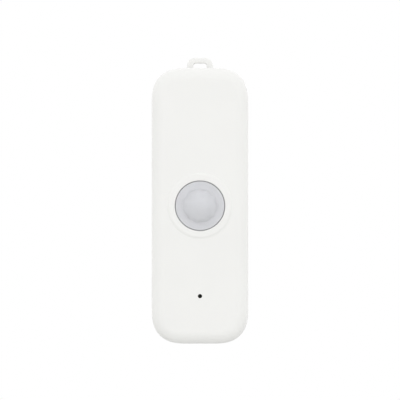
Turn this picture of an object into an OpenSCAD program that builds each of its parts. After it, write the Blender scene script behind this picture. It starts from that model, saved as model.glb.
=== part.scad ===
// Slim battery-powered motion sensor with a hanging loop, lens at the middle of its front.
// Each piece is drawn with the sensor lying on its back: x to the right, y towards the loop,
// z up from the back plane to the lens. stand() then turns it upright, and puts the origin
// on the wall plane at the centre of the adhesive pad.

/* [Body] */
// Width of the body
body_w = 41.5; // [40:0.5:60]
// Length of the body, without the hanging loop
body_h = 118.5; // [118:0.5:170]
// Thickness from the back plane to the flat front
body_d = 18; // [18:0.5:22]
// Reach of the four corners seen from the front
corner_r = 15; // [13:0.5:17]
// Softness of the corners, where 2 is a true arc
corner_power = 2.6; // [2.2:0.1:2.8]
// Rounding of the front edge
front_round = 5; // [3:0.5:6]
// Rounding of the back edge
back_round = 3; // [2:0.5:3.5]
// Thickness of the moulded walls
wall = 1.8; // [1.5:0.1:2.2]
// Height of the seam between the shells above the back plane
seam_z = 8; // [7:0.5:9]
// Height of the lip that locates the shells
lip_h = 1.5; // [1:0.1:2]

/* [Hanging loop] */
// Width of the loop
loop_w = 11.2; // [10:0.2:14]
// Height of the loop above the top of the body
loop_rise = 4.7; // [4.5:0.1:7]
// Thickness of the loop from front to back
loop_t = 3; // [2.4:0.1:3.6]
// Height of the bar over the hole
loop_bar = 2.4; // [2:0.1:2.6]
// Width of the hole in the loop
loop_hole_w = 5.8; // [5:0.1:6.4]
// Radius of the loop's two shoulders
loop_shoulder = 3.3; // [1.5:0.1:3.6]

/* [Lens] */
// Diameter of the lens disc seen in the front
lens_d = 21; // [18:0.2:22]
// Gap round the lens disc
lens_gap = 0.22; // [0.15:0.01:0.4]
// Diameter of the dome at its foot
dome_d = 14.9; // [12:0.1:16]
// Height of the dome above the lens disc
dome_h = 4.2; // [3:0.1:6]
// Wall of the lens
lens_wall = 0.8; // [0.6:0.1:1]
// Width of the hidden rim that holds the lens
lens_rim = 1.6; // [1.2:0.1:2]
// Outer diameter of the raised ring round the lens
bezel_d = 27.4; // [26:0.2:30]
// Height of the raised ring
bezel_rise = 0.4; // [0.2:0.1:0.8]
// Depth of the lens disc below the raised ring
lens_drop = 0.3; // [0.1:0.1:0.6]

/* [Status light] */
// Diameter of the light's hole
light_hole_d = 1.8; // [1.2:0.1:2.4]
// Distance of the light below the lens
light_drop = 38.7; // [34:0.1:40]
// Diameter of the light-emitting diode
light_d = 3; // [2.8:0.1:3]

/* [Motion element] */
// Diameter of the metal can
can_d = 9.1; // [8:0.1:9.4]
// Height of the metal can above the board
can_h = 4.4; // [4:0.1:4.6]
// Height of the board's front face below the flat front
board_drop = 8; // [7.8:0.1:8.4]

/* [Battery] */
// Diameter of a cell
cell_d = 10.4; // [10:0.1:10.5]
// Length of a cell with its pole
cell_len = 44.5; // [43.5:0.1:44.5]
// Length of a fitted contact spring
spring_len = 2.8; // [2.4:0.1:3]
// Distance between the two cell axes
cell_pitch = 11; // [10.8:0.1:11.4]

/* [Battery door] */
// Thickness of the door
door_t = 1.6; // [1.4:0.1:1.7]
// Gap round the door
door_gap = 0.25; // [0.2:0.05:0.4]
// Width of the tongues on the door's sides
tongue_w = 0.9; // [0.7:0.1:1]
// Length of the tongues
tongue_len = 34; // [20:1:36]

/* [Adhesive pad] */
// Width of the pad
pad_w = 28; // [20:1:30]
// Length of the pad
pad_h = 36; // [24:1:37]
// Thickness of the pad
pad_t = 1; // [0.8:0.1:1.2]
// How far the pad stands out of its recess
pad_proud = 0.5; // [0.3:0.1:0.6]

/* [Controls] */
// Distance of the button and the switch below the lens
control_drop = 2.4; // [2.2:0.1:2.6]
// Distance of the button and the switch from the middle
control_x = 9.5; // [9.2:0.1:10]
// Diameter of the pairing button
button_d = 5; // [4:0.1:5.2]
// Gap round the pairing button
button_gap = 0.2; // [0.15:0.05:0.3]
// Travel of the power switch
switch_travel = 2; // [1.5:0.1:2.2]

/* [Fasteners] */
// Radius of the case screws' shank
case_screw_r = 1.1; // [1:0.05:1.2]
// Radius of the board screws' shank
board_screw_r = 0.9; // [0.8:0.05:1]

/* [Hidden] */
$fn = 64;

shell_white = [0.93, 0.93, 0.92];
lens_white = [0.82, 0.83, 0.84];
rubber_black = [0.05, 0.05, 0.05];
steel = [0.75, 0.75, 0.76];
gold = [0.85, 0.68, 0.35];
board_green = [0.07, 0.33, 0.18];
chip_black = [0.1, 0.1, 0.11];

// Shared clearances
merge = 0.4;            // how far joined features run into each other
slice_t = 0.01;         // thickness of the slices that a rounded form is hulled from
round_steps = 6;        // slices over a rounded edge
corner_steps = 9;       // points over a corner
seat_gap = 0.2;         // free play between pieces that stack
part_gap = 0.3;         // clearance between pieces that never touch
screw_gap = 0.02;       // clearance of a thread in its pilot hole
lip_gap = 0.05;         // clearance of the lip in its rebate

// Heights above the back plane
front_in = body_d - wall;
lens_face = body_d + bezel_rise - lens_drop;
rim_t = lens_wall;
rim_low = front_in - rim_t;
retainer_t = 1.2;
retainer_low = rim_low - retainer_t;
board_t = 1.2;
board_front = body_d - board_drop;
board_back = board_front - board_t;
deck_low = door_t + seat_gap;
deck_t = 1.2;
cell_gap = 0.4;
cell_z = deck_low + cell_gap / 2 + cell_d / 2;
floor_low = cell_z + cell_d / 2 + cell_gap / 2;
floor_t = 1.1;

// Plan of the battery bay
board_top = can_d / 2 + 0.85;
bay_wall = 1;
bay_start = board_top + part_gap + bay_wall;
plate_t = 0.4;
bump_h = 0.6;
pole_h = 1;
bay_len = plate_t + spring_len + cell_len + bump_h + plate_t;
bay_end = bay_start + bay_len;
bay_w = cell_pitch + cell_d + cell_gap;
left_cell_start = bay_start + plate_t + spring_len;
right_cell_start = bay_start + plate_t + bump_h;

// Plan of the battery door
door_start = bay_start - 3.5;
door_w = body_w - 2 * (back_round + 1.75);
tongue_low = door_t - 0.7;
tongue_start = door_start + 2;
deck_start = door_start - 1.4;

// Screw bosses
boss_r = 2.4;
post_r = 3.1;
head_r = 1.9;
head_h = 1.4;
head_seat = 3.4;
post_top = head_seat + 1.6;
screw_len = 8;
upper_screw = [body_w / 2 - wall - boss_r - 1.65, bay_start + 24];
lower_screw = [body_w / 2 - 8, -(body_h / 2 - 8.6)];

// Plan of the board and what it carries
board_bottom = -(body_h / 2 - 12);
board_w = body_w - 2 * (wall + 1.05);
board_boss_x = board_w / 2 - 2.9;
board_boss_y = [-12, -(light_drop + 2.3)];
board_boss_r = 2.2;
board_head_r = 1.7;
board_head_h = 1.2;
board_screw_len = 5;
control_y = -control_drop;

// Lens retainer
ear_angles = [-18, 198, 270];
ear_r = 2.2;
ear_reach = lens_d / 2 + lens_rim + 2.4;
pin_r = 0.8;
pin_gap = 0.05;
retainer_r = lens_d / 2 + lens_rim + 0.9;
retainer_hole_r = lens_d / 2 - 1.2;

// Adhesive pad
pad_y = -(body_h / 2 - 15.25 - pad_h / 2);
pad_gap = 0.2;

// Controls
button_sink = 0.3;
flange_gap = 0.15;
tact_h = 3.5;
tact_top = board_back - tact_h;
plunger_h = 1.5;
plunger_r = 1.75;
press = 0.3;
switch_h = 3.6;
slider_stem = 1.5;
scoop_depth = 1;
slot_gap = 0.25;

module stand() {
    translate([0, -pad_proud, -pad_y]) rotate([90, 0, 0]) children();
}

module disc(r, low, high) {
    translate([0, 0, low]) cylinder(r=r, h=high - low);
}

module ring(r_out, r_in, low, high) {
    difference() {
        disc(r_out, low, high);
        disc(r_in, low - merge, high + merge);
    }
}

// A box centred on x and y
module block(size, low, high) {
    translate([-size.x / 2, -size.y / 2, low]) cube([size.x, size.y, high - low]);
}

// A box centred on x only, from one y to another
module bar(width, start, end, low, high) {
    translate([-width / 2, start, low]) cube([width, end - start, high - low]);
}

module at_both(place) {
    for (side = [-1, 1]) translate([side * place.x, place.y, 0]) children();
}

// One point of a soft corner, at an angle from the x axis
function corner_point(reach, angle) = [
    reach * pow(cos(angle), 2 / corner_power),
    reach * pow(sin(angle), 2 / corner_power)
];

// Outline of the body, inset from its true edge, anticlockwise from the right
function outline_points(inset) = [
    for (quarter = [0:3])
        for (i = [0:corner_steps])
            let (
                reach = corner_r - inset,
                turn = (quarter % 2 == 0 ? i : corner_steps - i) * 90 / corner_steps,
                point = corner_point(reach, turn),
                side_x = quarter == 0 || quarter == 3 ? 1 : -1,
                side_y = quarter < 2 ? 1 : -1
            )
            [
                side_x * (body_w / 2 - corner_r + point.x),
                side_y * (body_h / 2 - corner_r + point.y)
            ]
];

module outline(inset) {
    polygon(outline_points(inset));
}

module plate(inset, low, high) {
    translate([0, 0, low]) linear_extrude(high - low) outline(inset);
}

// The whole body's form with rounded front and back edges, inset all over
module body_form(inset) {
    front_r = front_round - inset;
    back_r = back_round - inset;
    hull() {
        for (step = [0:round_steps]) {
            turn = step * 90 / round_steps;
            plate(inset + front_r * (1 - cos(turn)),
                  body_d - front_round + front_r * sin(turn) - slice_t,
                  body_d - front_round + front_r * sin(turn));
            plate(inset + back_r * (1 - cos(turn)),
                  back_round - back_r * sin(turn),
                  back_round - back_r * sin(turn) + slice_t);
        }
    }
}

module hollow_body() {
    difference() {
        body_form(0);
        body_form(wall);
    }
}

module half_space(low, high) {
    block([2 * body_w, 2 * body_h], low, high);
}

// ---- Casing ----

module front_cover() {
    stand() color(shell_white) difference() {
        union() {
            intersection() {
                hollow_body();
                half_space(seam_z, body_d + 1);
            }
            disc(bezel_d / 2, body_d - merge, body_d + bezel_rise);
            for (place = [upper_screw, lower_screw])
                at_both(place) disc(boss_r, post_top + seat_gap, front_in + merge);
            for (y = board_boss_y)
                at_both([board_boss_x, y]) disc(board_boss_r, board_front, front_in + merge);
            for (angle = ear_angles)
                rotate(angle) translate([ear_reach, 0, 0]) lens_pin();
        }
        // Rebate for the rear cover's lip, in the inner half of the wall
        difference() {
            plate(wall / 2, seam_z - merge, seam_z + lip_h + seat_gap);
            plate(wall + 0.2, seam_z - 2 * merge, seam_z + lip_h + seat_gap + merge);
        }
        disc(lens_d / 2 + lens_gap, front_in - merge, body_d + bezel_rise + merge);
        translate([0, -light_drop, 0]) disc(light_hole_d / 2, front_in - merge, body_d + merge);
        for (place = [upper_screw, lower_screw])
            at_both(place) disc(case_screw_r + screw_gap, 0, head_seat + screw_len + 1);
        for (y = board_boss_y)
            at_both([board_boss_x, y])
                disc(board_screw_r + screw_gap, 0, board_back + board_screw_len + 0.8);
    }
}

// A pin whose end is melted over the retainer's ear
module lens_pin() {
    disc(pin_r, retainer_low - 0.4, front_in + merge);
    translate([0, 0, retainer_low - 0.5]) cylinder(r1=pin_r, r2=pin_r + 0.5, h=0.45);
}

module rear_cover() {
    stand() color(shell_white) difference() {
        union() {
            difference() {
                union() {
                    intersection() {
                        hollow_body();
                        half_space(-1, seam_z);
                    }
                    deck();
                }
                door_recess();
            }
            lip();
            hanging_loop();
            bay_box();
            at_both(upper_screw) disc(post_r, deck_low, post_top);
            at_both(lower_screw) disc(post_r, wall - merge, post_top);
        }
        bay_space();
        contact_slots();
        for (place = [upper_screw, lower_screw])
            at_both(place) {
                disc(case_screw_r + 0.15, -1, post_top + 1);
                disc(head_r + 0.2, -1, head_seat);
            }
        translate([0, pad_y, 0])
            block([pad_w + 2 * pad_gap, pad_h + 2 * pad_gap], -1, pad_t - pad_proud);
        translate([control_x, control_y, 0]) disc(button_d / 2 + button_gap, -1, wall + 1);
        translate([-control_x, control_y, 0]) {
            block([switch_travel + slider_stem + 2 * slot_gap, slider_stem + 2 * slot_gap], -1, wall + 1);
            block([switch_travel + slider_stem + 4, slider_stem + 3], -1, scoop_depth);
        }
    }
}

// The lip stands up inside the front cover's rebate
module lip() {
    difference() {
        plate(wall / 2 + lip_gap, seam_z - merge, seam_z + lip_h);
        plate(wall, seam_z - 2 * merge, seam_z + lip_h + merge);
    }
}

// The floor that the door slides on
module deck() {
    intersection() {
        plate(wall / 2, deck_low, deck_low + deck_t);
        bar(2 * body_w, deck_start, body_h, 0, body_d);
    }
}

module door_recess() {
    bar(door_w + 2 * door_gap, door_start - door_gap, body_h, -1, deck_low);
    bar(door_w + 2 * (tongue_w + door_gap), tongue_start - door_gap, body_h,
        tongue_low - seat_gap, deck_low);
}

module bay_box() {
    bar(bay_w + 2 * bay_wall, bay_start - bay_wall, bay_end + bay_wall,
        deck_low, floor_low + floor_t);
}

module bay_space() {
    bar(bay_w, bay_start, bay_end, deck_low - 1, floor_low);
}

module contact_slots() {
    for (side = [-1, 1])
        translate([side * cell_pitch / 2, 0, 0])
            bar(tail_w + 0.4, bay_start - bay_wall - 1, bay_start + 1,
                board_back - plate_t - 0.2, board_back + 0.2);
}

module hanging_loop() {
    loop_z = seam_z - 1.4 - loop_t;
    root = wall / 2;
    difference() {
        translate([0, body_h / 2, loop_z]) linear_extrude(loop_t) difference() {
            union() {
                translate([-loop_w / 2, -root]) square([loop_w, loop_rise - loop_shoulder + root]);
                translate([-loop_w / 2 + loop_shoulder, 0])
                    square([loop_w - 2 * loop_shoulder, loop_rise]);
                for (side = [-1, 1]) {
                    translate([side * (loop_w / 2 - loop_shoulder), loop_rise - loop_shoulder])
                        circle(r=loop_shoulder);
                    loop_flare(side, root);
                }
            }
            loop_hole();
        }
    }
}

// A fillet where the loop's leg meets the body
module loop_flare(side, root) {
    flare = 1.2;
    difference() {
        translate([side * (loop_w / 2 + flare / 2 - 0.05), flare / 2 - root / 2])
            square([flare + 0.1, flare + root], center=true);
        translate([side * (loop_w / 2 + flare), flare]) circle(r=flare);
    }
}

// The hole is flat below and has rounded upper corners
module loop_hole() {
    corner = 1;
    hole_h = loop_rise - loop_bar;
    translate([-loop_hole_w / 2, 0]) square([loop_hole_w, hole_h - corner]);
    translate([-loop_hole_w / 2 + corner, 0]) square([loop_hole_w - 2 * corner, hole_h]);
    for (side = [-1, 1])
        translate([side * (loop_hole_w / 2 - corner), hole_h - corner]) circle(r=corner);
}

module battery_door() {
    ridge_pitch = 1.6;
    stand() color(shell_white) difference() {
        intersection() {
            body_form(0);
            union() {
                bar(door_w, door_start, body_h, 0, door_t);
                bar(door_w + 2 * tongue_w, tongue_start, tongue_start + tongue_len,
                    tongue_low, door_t);
            }
        }
        // Grooves for the thumb
        for (i = [0:4])
            bar(12, door_start + 4 + i * ridge_pitch, door_start + 4.8 + i * ridge_pitch, -1, 0.4);
    }
}

module case_screws() {
    stand() color(steel)
        for (place = [upper_screw, lower_screw]) at_both(place) screw(case_screw_r, head_r, head_h,
                                                                      head_seat, screw_len);
}

// A pan-head screw driven from the back, with a cross recess
module screw(shank_r, screw_head_r, screw_head_h, seat, length) {
    recess = 0.5;
    difference() {
        union() {
            disc(shank_r, seat - merge, seat + length - 0.8);
            translate([0, 0, seat + length - 0.8]) cylinder(r1=shank_r, r2=shank_r / 3, h=0.8);
            disc(screw_head_r, seat - screw_head_h + 0.4, seat);
            translate([0, 0, seat - screw_head_h])
                cylinder(r1=screw_head_r - 0.4, r2=screw_head_r, h=0.4);
        }
        for (turn = [0, 90])
            rotate(turn) block([1.3 * screw_head_r, recess],
                               seat - screw_head_h - 1, seat - screw_head_h / 2);
    }
}

module adhesive_pad() {
    corner = 3;
    stand() color([0.25, 0.27, 0.3]) translate([0, pad_y, -pad_proud]) {
        block([pad_w - 2 * corner, pad_h], 0, pad_t);
        block([pad_w, pad_h - 2 * corner], 0, pad_t);
        for (sx = [-1, 1])
            for (sy = [-1, 1])
                translate([sx * (pad_w / 2 - corner), sy * (pad_h / 2 - corner), 0])
                    disc(corner, 0, pad_t);
    }
}

// ---- Lens ----

module fresnel_lens() {
    dome_r = dome_d / 2;
    ball_r = (dome_r * dome_r + dome_h * dome_h) / (2 * dome_h);
    ball_z = lens_face + dome_h - ball_r;
    stand() color(lens_white) difference() {
        union() {
            disc(lens_d / 2, rim_low, lens_face);
            disc(lens_d / 2 + lens_rim, rim_low, rim_low + rim_t);
            intersection() {
                translate([0, 0, ball_z]) sphere(r=ball_r);
                disc(dome_r + 1, lens_face - merge, body_d + 2 * dome_h);
            }
        }
        disc(lens_d / 2 - lens_wall, rim_low - merge, lens_face - lens_wall);
        intersection() {
            translate([0, 0, ball_z]) sphere(r=ball_r - lens_wall);
            disc(dome_r + 1, lens_face - lens_wall - merge, body_d + 2 * dome_h);
        }
    }
}

module lens_retainer() {
    stand() color([0.85, 0.85, 0.84]) difference() {
        union() {
            disc(retainer_r, retainer_low, rim_low);
            for (angle = ear_angles)
                rotate(angle) {
                    translate([ear_reach, 0, 0]) disc(ear_r, retainer_low, rim_low);
                    translate([ear_reach / 2 + retainer_hole_r / 2, 0, 0])
                        block([ear_reach - retainer_hole_r, 3], retainer_low, rim_low);
                }
        }
        disc(retainer_hole_r, retainer_low - 1, rim_low + 1);
        for (angle = ear_angles)
            rotate(angle) translate([ear_reach, 0, 0])
                disc(pin_r + pin_gap, retainer_low - 1, rim_low + 1);
    }
}

// ---- Motion element ----

header_t = 0.6;
header_low = board_front + 0.3;
can_wall = 0.25;
window_w = 4;
window_h = 3;
lead_r = 0.23;
lead_circle = 2.54;

module sensor_can() {
    can_top = board_front + can_h;
    stand() color(steel) difference() {
        union() {
            disc(can_d / 2 - 0.5, header_low, can_top);
            disc(can_d / 2, header_low, header_low + 0.4);
        }
        disc(can_d / 2 - 0.5 - can_wall, header_low - 1, can_top - can_wall);
        disc(can_d / 2 - 0.5 - can_wall, header_low - 1, header_low + header_t);
        block([window_w, window_h], can_top - 1, can_top + 1);
    }
}

module sensor_window() {
    can_top = board_front + can_h;
    stand() color([0.12, 0.1, 0.12])
        block([window_w + 1, window_h + 1], can_top - can_wall - 0.5, can_top - can_wall);
}

module sensor_element() {
    stand() color([0.8, 0.8, 0.75]) {
        block([5, 3.6], header_low + header_t + 0.8, header_low + header_t + 1.3);
        for (side = [-1, 1])
            translate([side * 1.8, 0, 0])
                block([0.8, 2.4], header_low + header_t, header_low + header_t + 1);
    }
}

module sensor_header() {
    stand() color(gold) difference() {
        disc(can_d / 2 - 0.5 - can_wall, header_low, header_low + header_t);
        for (angle = [90, 180, 270])
            rotate(angle) translate([lead_circle, 0, 0])
                disc(lead_r, header_low - 1, header_low + 2);
    }
}

module sensor_leads() {
    stand() color(gold)
        for (angle = [90, 180, 270])
            rotate(angle) translate([lead_circle, 0, 0])
                disc(lead_r, board_back - 1.2, header_low + header_t + 0.3);
}

// ---- Board ----

module main_board() {
    hole_gap = 0.1;
    corner = 3;
    stand() color(board_green) difference() {
        union() {
            bar(board_w, board_bottom + corner, board_top, board_back, board_front);
            bar(board_w - 2 * corner, board_bottom, board_top, board_back, board_front);
            for (side = [-1, 1])
                translate([side * (board_w / 2 - corner), board_bottom + corner, 0])
                    disc(corner, board_back, board_front);
        }
        for (y = board_boss_y)
            at_both([board_boss_x, y]) disc(board_screw_r + hole_gap, 0, body_d);
        for (angle = [90, 180, 270])
            rotate(angle) translate([lead_circle, 0, 0]) disc(lead_r + hole_gap, 0, body_d);
    }
}

module board_screws() {
    stand() color(steel)
        for (y = board_boss_y)
            at_both([board_boss_x, y])
                screw(board_screw_r, board_head_r, board_head_h, board_back, board_screw_len);
}

module microcontroller() {
    stand() color(chip_black) translate([-8, -26, 0]) {
        block([6, 6], board_back - 0.9, board_back);
    }
}

module amplifier_chip() {
    stand() color(chip_black) translate([8, -18, 0])
        block([3.9, 4.9], board_front + 0.1, board_front + 1.5);
}

module amplifier_leads() {
    lead_w = 0.4;
    stand() color(steel) translate([8, -18, 0])
        for (side = [-1, 1])
            for (i = [0:3])
                translate([side * 1.95, (i - 1.5) * 1.27 - lead_w / 2, board_front])
                    mirror([side < 0 ? 1 : 0, 0, 0]) {
                        translate([0, 0, 0.6]) cube([0.5, lead_w, 0.2]);
                        translate([0.4, 0, 0]) cube([0.2, lead_w, 0.8]);
                        translate([0.4, 0, 0]) cube([0.7, lead_w, 0.2]);
                    }
}

module radio_board() {
    stand() color([0.08, 0.12, 0.3]) translate([5, -30, 0])
        block([14, 16], board_back - 0.8, board_back);
}

module radio_shield() {
    stand() color(steel) translate([5, -30, 0]) difference() {
        block([12, 11], board_back - 3, board_back - 0.8);
        block([11.6, 10.6], board_back - 2.8, board_back);
    }
}

module crystal() {
    stand() color(steel) translate([-8, -34, 0]) {
        block([7, 3.6], board_back - 2.6, board_back);
        for (side = [-1, 1]) translate([side * 3.5, 0, 0]) disc(1.8, board_back - 2.6, board_back);
    }
}

// A stamped strip that stands over the board's lower end
module antenna() {
    strip = 0.4;
    reach = 18;
    rise = 3.6;
    stand() color(steel) translate([0, board_bottom + 1.6, board_front]) {
        translate([-reach / 2, -1, rise]) cube([reach, 2, strip]);
        translate([-reach / 2, -1, 0]) cube([strip, 2, rise + strip]);
        translate([-reach / 2 + 4, -1, 0]) cube([strip, 2, rise + strip]);
    }
}

module voltage_regulator() {
    stand() color(chip_black) translate([-8.5, -18, 0]) {
        block([4.5, 2.5], board_back - 1.5, board_back - 0.1);
        for (i = [-1, 0, 1])
            translate([i * 1.5, -1.2, 0]) block([0.5, 1.6], board_back - 0.4, board_back);
    }
}

module storage_capacitor() {
    can_r = 2.5;
    stand() color([0.8, 0.8, 0.82]) translate([-8, -24, 0]) {
        disc(can_r, board_front + 0.8, board_front + 1.4);
        disc(can_r - 0.2, board_front + 1.3, board_front + 1.7);
        disc(can_r, board_front + 1.6, board_front + 5.6);
    }
}

module capacitor_base() {
    stand() color(chip_black) translate([-8, -24, 0])
        block([5.3, 5.3], board_front, board_front + 0.8);
}

// Two rows of small passive parts share the front of the board
module chip_row(x, count, pitch, size) {
    for (i = [0:count - 1])
        translate([x, -17 - i * pitch, 0]) block([size.x, size.y], board_front, board_front + size.z);
}

module chip_resistors() {
    stand() color(chip_black) {
        chip_row(1.5, 6, 2.4, [1.6, 0.8, 0.45]);
        chip_row(-2, 6, 2.4, [1.6, 0.8, 0.45]);
    }
}

module chip_capacitors() {
    stand() color([0.62, 0.48, 0.33]) {
        chip_row(13.5, 4, 3, [1.6, 0.8, 0.8]);
        chip_row(-13.5, 4, 3, [2, 1.2, 1]);
    }
}

module status_light() {
    stand() color([0.8, 0.85, 0.8]) translate([0, -light_drop, board_front]) {
        disc(light_d / 2 + 0.3, 0, 0.9);
        disc(light_d / 2, 0.4, 3);
        translate([0, 0, 3]) intersection() {
            sphere(r=light_d / 2);
            disc(light_d, -0.1, light_d);
        }
    }
}

// A rubber tube that keeps the light out of the thin white shell
module light_shroud() {
    stand() color(rubber_black) translate([0, -light_drop, 0])
        ring(light_d / 2 + 1.3, light_d / 2 + 0.4, board_front, front_in);
}

// ---- Controls ----

module pairing_button() {
    flange_r = button_d / 2 + 0.8;
    foot = tact_top - plunger_h;
    stand() color([0.78, 0.79, 0.8]) translate([control_x, control_y, 0]) {
        disc(button_d / 2, button_sink, foot);
        disc(flange_r, wall + flange_gap, foot);
    }
}

module tact_plunger() {
    stand() color(chip_black) translate([control_x, control_y, 0])
        disc(plunger_r, tact_top - plunger_h, tact_top + 1);
}

module tact_body() {
    stand() color(chip_black) translate([control_x, control_y, 0]) difference() {
        block([6, 6], tact_top + 0.2, board_back);
        disc(plunger_r + 0.1, tact_top - 1, tact_top + 1 + press + 0.4);
    }
}

module tact_frame() {
    stand() color(steel) translate([control_x, control_y, 0]) difference() {
        block([6.4, 6], tact_top, board_back - 1);
        block([6, 6.4], tact_top + 0.2, board_back);
        disc(plunger_r + 0.1, tact_top - 1, tact_top + 1);
    }
}

// At rest the slider stands at the left end of its slot
module power_slider() {
    foot = board_back - switch_h + 0.4;
    stand() color(chip_black) translate([-control_x - switch_travel / 2, control_y, 0]) {
        block([slider_stem, slider_stem], scoop_depth / 2, foot + 1);
        block([slider_stem + 1.6, 2.6], foot + 0.1, foot + 1);
    }
}

module power_switch_shell() {
    top = board_back - switch_h;
    stand() color(steel) translate([-control_x, control_y, 0]) difference() {
        block([8.6, 4], top, board_back - 0.9);
        block([8.2, 3.6], top + 0.3, board_back);
        block([switch_travel + slider_stem + 0.6, slider_stem + 0.4], top - 1, top + 1);
    }
}

module power_switch_base() {
    stand() color(chip_black) translate([-control_x, control_y, 0])
        block([8.2, 3.6], board_back - switch_h + 1.8, board_back);
}

// ---- Battery ----

plate_w = 7.2;
tail_w = 2;
sleeve_t = 0.1;

// A cell along y with its pole at the end it points to
module cell(start, pole_up) {
    can_len = cell_len - pole_h;
    can_start = pole_up ? start : start + pole_h;
    pole_start = pole_up ? start + can_len - merge : start;
    translate([0, can_start, cell_z]) rotate([-90, 0, 0])
        cylinder(r=cell_d / 2 - sleeve_t, h=can_len);
    translate([0, pole_start, cell_z]) rotate([-90, 0, 0])
        cylinder(r=1.9, h=pole_h + merge);
}

module cell_sleeve(start) {
    inset = 0.5;
    translate([0, start + inset, cell_z]) rotate([-90, 0, 0]) difference() {
        cylinder(r=cell_d / 2, h=cell_len - pole_h - 2 * inset);
        translate([0, 0, -1]) cylinder(r=cell_d / 2 - sleeve_t, h=cell_len);
    }
}

module left_cell() {
    stand() color(steel) translate([-cell_pitch / 2, 0, 0]) cell(left_cell_start, true);
}

module right_cell() {
    stand() color(steel) translate([cell_pitch / 2, 0, 0]) cell(right_cell_start, false);
}

module left_cell_sleeve() {
    stand() color([0.15, 0.35, 0.6]) translate([-cell_pitch / 2, 0, 0])
        cell_sleeve(left_cell_start);
}

module right_cell_sleeve() {
    stand() color([0.15, 0.35, 0.6]) translate([cell_pitch / 2, 0, 0])
        cell_sleeve(right_cell_start + pole_h);
}

// A plate at the lower end of the bay with a tail that is soldered to the board
module contact_plate() {
    bar(plate_w, bay_start, bay_start + plate_t, cell_z - plate_w / 2, cell_z + plate_w / 2);
    bar(tail_w, bay_start, bay_start + plate_t, cell_z, board_back);
    bar(tail_w, bay_start - 4.5, bay_start + plate_t, board_back - plate_t, board_back);
}

// A round bump that reaches the pole of a cell
module contact_bump(start) {
    translate([0, start, cell_z]) rotate([-90, 0, 0]) cylinder(r=1.5, h=bump_h);
}

module negative_contact() {
    stand() color(gold) translate([-cell_pitch / 2, 0, 0]) contact_plate();
}

module positive_contact() {
    stand() color(gold) translate([cell_pitch / 2, 0, 0]) {
        contact_plate();
        contact_bump(bay_start + plate_t);
    }
}

// The plate at the upper end joins one cell to the other
module link_contact() {
    stand() color(gold) {
        bar(bay_w - 2, bay_end - plate_t, bay_end, cell_z - plate_w / 2, cell_z + plate_w / 2);
        translate([-cell_pitch / 2, 0, 0]) contact_bump(bay_end - plate_t - bump_h);
    }
}

// Points round the wire of a cone-shaped spring along y
wire_r = 0.28;
wire_sides = 6;
spring_turns = 3;
turn_steps = 14;
spring_foot_r = 3.2;
spring_tip_r = 2;

function spring_points() = [
    for (i = [0:spring_turns * turn_steps])
        for (k = [0:wire_sides - 1])
            let (
                share = i / (spring_turns * turn_steps),
                turn = 360 * i / turn_steps,
                around = 360 * k / wire_sides,
                reach = spring_foot_r + (spring_tip_r - spring_foot_r) * share
                        + wire_r * cos(around),
                rise = wire_r + (spring_len - 2 * wire_r) * share + wire_r * sin(around)
            )
            [reach * cos(turn), rise, reach * sin(turn)]
];

function spring_faces() = let (last = spring_turns * turn_steps * wire_sides) concat(
    [[for (k = [0:wire_sides - 1]) k]],
    [[for (k = [wire_sides - 1:-1:0]) last + k]],
    [
        for (i = [0:spring_turns * turn_steps - 1])
            for (k = [0:wire_sides - 1])
                let (
                    here = i * wire_sides,
                    next = (k + 1) % wire_sides
                )
                each [
                    [here + k, here + wire_sides + k, here + next],
                    [here + next, here + wire_sides + k, here + wire_sides + next]
                ]
    ]
);

module contact_spring() {
    polyhedron(points=spring_points(), faces=spring_faces());
}

module contact_springs() {
    stand() color(steel) {
        translate([-cell_pitch / 2, bay_start + plate_t, cell_z]) contact_spring();
        translate([cell_pitch / 2, bay_end - plate_t, cell_z])
            rotate([180, 0, 0]) contact_spring();
    }
}

front_cover();
rear_cover();
battery_door();
case_screws();
adhesive_pad();
fresnel_lens();
lens_retainer();
sensor_can();
sensor_window();
sensor_element();
sensor_header();
sensor_leads();
main_board();
board_screws();
microcontroller();
amplifier_chip();
amplifier_leads();
radio_board();
radio_shield();
crystal();
antenna();
voltage_regulator();
storage_capacitor();
capacitor_base();
chip_resistors();
chip_capacitors();
status_light();
light_shroud();
pairing_button();
tact_plunger();
tact_body();
tact_frame();
power_slider();
power_switch_shell();
power_switch_base();
left_cell();
right_cell();
left_cell_sleeve();
right_cell_sleeve();
negative_contact();
positive_contact();
link_contact();
contact_springs();
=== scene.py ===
import math

import bpy
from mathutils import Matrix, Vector


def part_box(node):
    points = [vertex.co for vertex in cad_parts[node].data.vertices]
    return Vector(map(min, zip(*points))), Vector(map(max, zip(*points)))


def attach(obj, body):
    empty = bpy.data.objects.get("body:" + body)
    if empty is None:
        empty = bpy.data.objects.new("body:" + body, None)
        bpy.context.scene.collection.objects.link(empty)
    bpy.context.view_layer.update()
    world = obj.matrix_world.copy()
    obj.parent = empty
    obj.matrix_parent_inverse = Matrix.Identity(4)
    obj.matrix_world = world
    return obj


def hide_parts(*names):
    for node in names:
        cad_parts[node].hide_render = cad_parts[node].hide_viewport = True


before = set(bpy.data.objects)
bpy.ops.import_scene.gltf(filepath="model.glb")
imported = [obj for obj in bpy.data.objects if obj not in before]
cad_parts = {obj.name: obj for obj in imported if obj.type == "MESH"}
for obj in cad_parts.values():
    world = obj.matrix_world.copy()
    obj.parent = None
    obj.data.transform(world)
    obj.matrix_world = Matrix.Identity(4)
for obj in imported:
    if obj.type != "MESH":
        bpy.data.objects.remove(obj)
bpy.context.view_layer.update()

mm = 0.001
near = 0.01 * mm        # two places closer than this count as the same
loose = 0.05 * mm       # the same, for places that steps have moved a little
clear = 1 * mm          # how far a cutter runs past what it cuts
lap = 0.01 * mm         # keeps two joined faces from lying in one plane
boreSides = 32
holeSides = 48


# Hand tools

def deselectAll():
    if bpy.context.mode != "OBJECT":
        bpy.ops.object.mode_set(mode="OBJECT")
    bpy.ops.object.select_all(action="DESELECT")


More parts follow.
